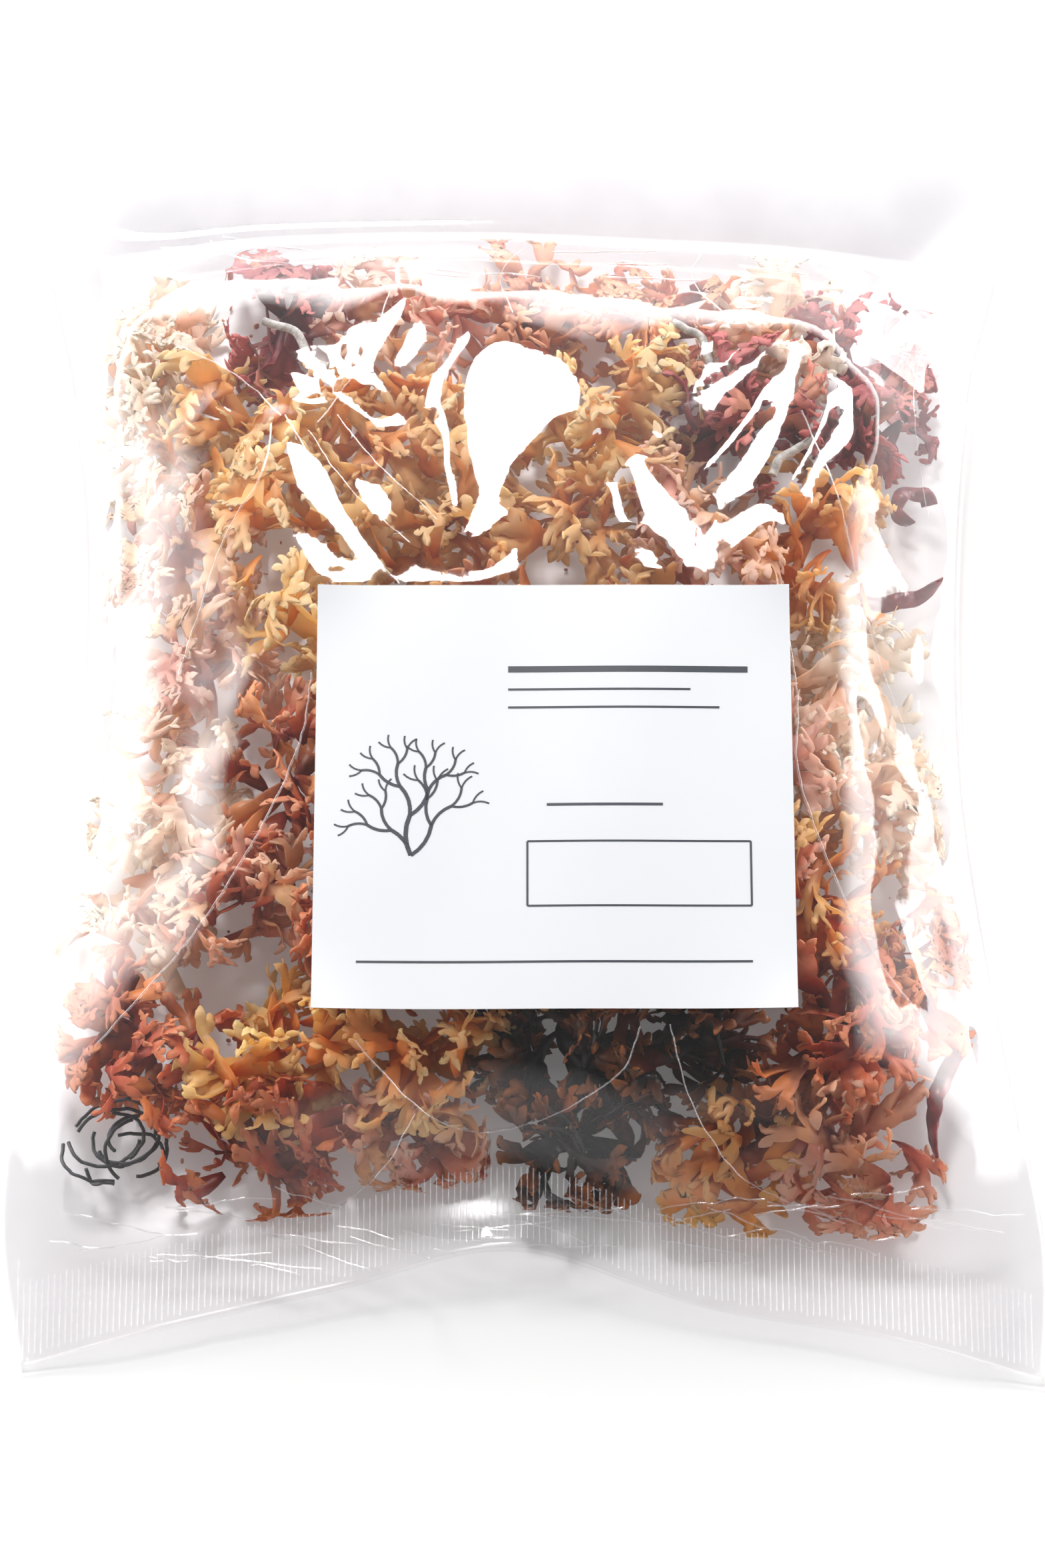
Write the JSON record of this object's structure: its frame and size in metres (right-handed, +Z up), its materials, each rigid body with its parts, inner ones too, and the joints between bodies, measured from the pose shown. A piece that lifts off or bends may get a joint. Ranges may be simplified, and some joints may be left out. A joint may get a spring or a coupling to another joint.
{
  "type": "sealed clear pouch of dried irish moss seaweed",
  "caption": "Clear heat-sealed pouch, lying flat, packed with forked fronds of dried red and gold seaweed, with a square paper label on its front.",
  "frame": {"origin": "middle of the pouch's box, on the surface that it lies on", "axes": "+Z up through the label, +Y along the length of the pouch towards its top edge, +X to the right as the label is read"},
  "size_m": [0.2161, 0.2862, 0.0367],
  "materials": {
    "film": "clear, glossy and creased",
    "label_paper": "smooth white paper with a slight sheen",
    "moss_gold": "dry and leathery, thin enough for light to glow through, paler at the tips",
    "moss_amber": "dry and leathery, thin enough for light to glow through, paler at the tips",
    "moss_cream": "dry and leathery, thin enough for light to glow through, paler at the tips",
    "moss_rose": "dry and leathery, thin enough for light to glow through, paler at the tips",
    "moss_rust": "dry and leathery, thin enough for light to glow through, paler at the tips",
    "moss_maroon": "dry and leathery, thin enough for light to glow through, paler at the tips",
    "moss_dark": "dry and leathery, thin enough for light to glow through, paler at the tips",
    "weed_black": "wiry and matt",
    "weed_maroon": "dry, satin",
    "stem_grey": "rough, chalky crust"
  },
  "bodies": {
    "root": {"film_back": "film", "film_front": "film", "label": "label_paper", "pale_stem_1": "stem_grey", "pale_stem_2": "stem_grey", "pale_stem_3": "stem_grey", "ribbon_weed_1": "weed_maroon", "ribbon_weed_2": "weed_maroon", "ribbon_weed_3": "weed_maroon", "tuft_01_cream": "moss_cream", "tuft_02_maroon": "moss_maroon", "tuft_03_rose": "moss_rose", "tuft_04_rust": "moss_rust", "tuft_05_rust": "moss_rust", "tuft_06_cream": "moss_cream", "tuft_07_cream": "moss_cream", "tuft_08_gold": "moss_gold", "tuft_09_amber": "moss_amber", "tuft_10_gold": "moss_gold", "tuft_11_gold": "moss_gold", "tuft_12_maroon": "moss_maroon", "tuft_13_maroon": "moss_maroon", "tuft_14_rose": "moss_rose", "tuft_15_gold": "moss_gold", "tuft_16_amber": "moss_amber", "tuft_17_amber": "moss_amber", "tuft_18_rose": "moss_rose", "tuft_19_amber": "moss_amber", "tuft_20_rose": "moss_rose", "tuft_21_gold": "moss_gold", "tuft_22_rust": "moss_rust", "tuft_23_amber": "moss_amber", "tuft_24_cream": "moss_cream", "tuft_25_cream": "moss_cream", "tuft_26_rust": "moss_rust", "tuft_27_gold": "moss_gold", "tuft_28_maroon": "moss_maroon", "tuft_29_rose": "moss_rose", "tuft_30_cream": "moss_cream", "tuft_31_cream": "moss_cream", "tuft_32_rose": "moss_rose", "tuft_33_rust": "moss_rust", "tuft_34_amber": "moss_amber", "tuft_35_dark": "moss_dark", "tuft_36_amber": "moss_amber", "tuft_37_rust": "moss_rust", "tuft_38_gold": "moss_gold", "tuft_39_gold": "moss_gold", "tuft_40_dark": "moss_dark", "tuft_41_dark": "moss_dark", "tuft_42_rust": "moss_rust", "tuft_43_rust": "moss_rust", "tuft_44_rust": "moss_rust", "tuft_45_rose": "moss_rose", "tuft_46_dark": "moss_dark", "tuft_47_amber": "moss_amber", "tuft_48_rose": "moss_rose", "wiry_weed": "weed_black"}
  },
  "joints": []
}
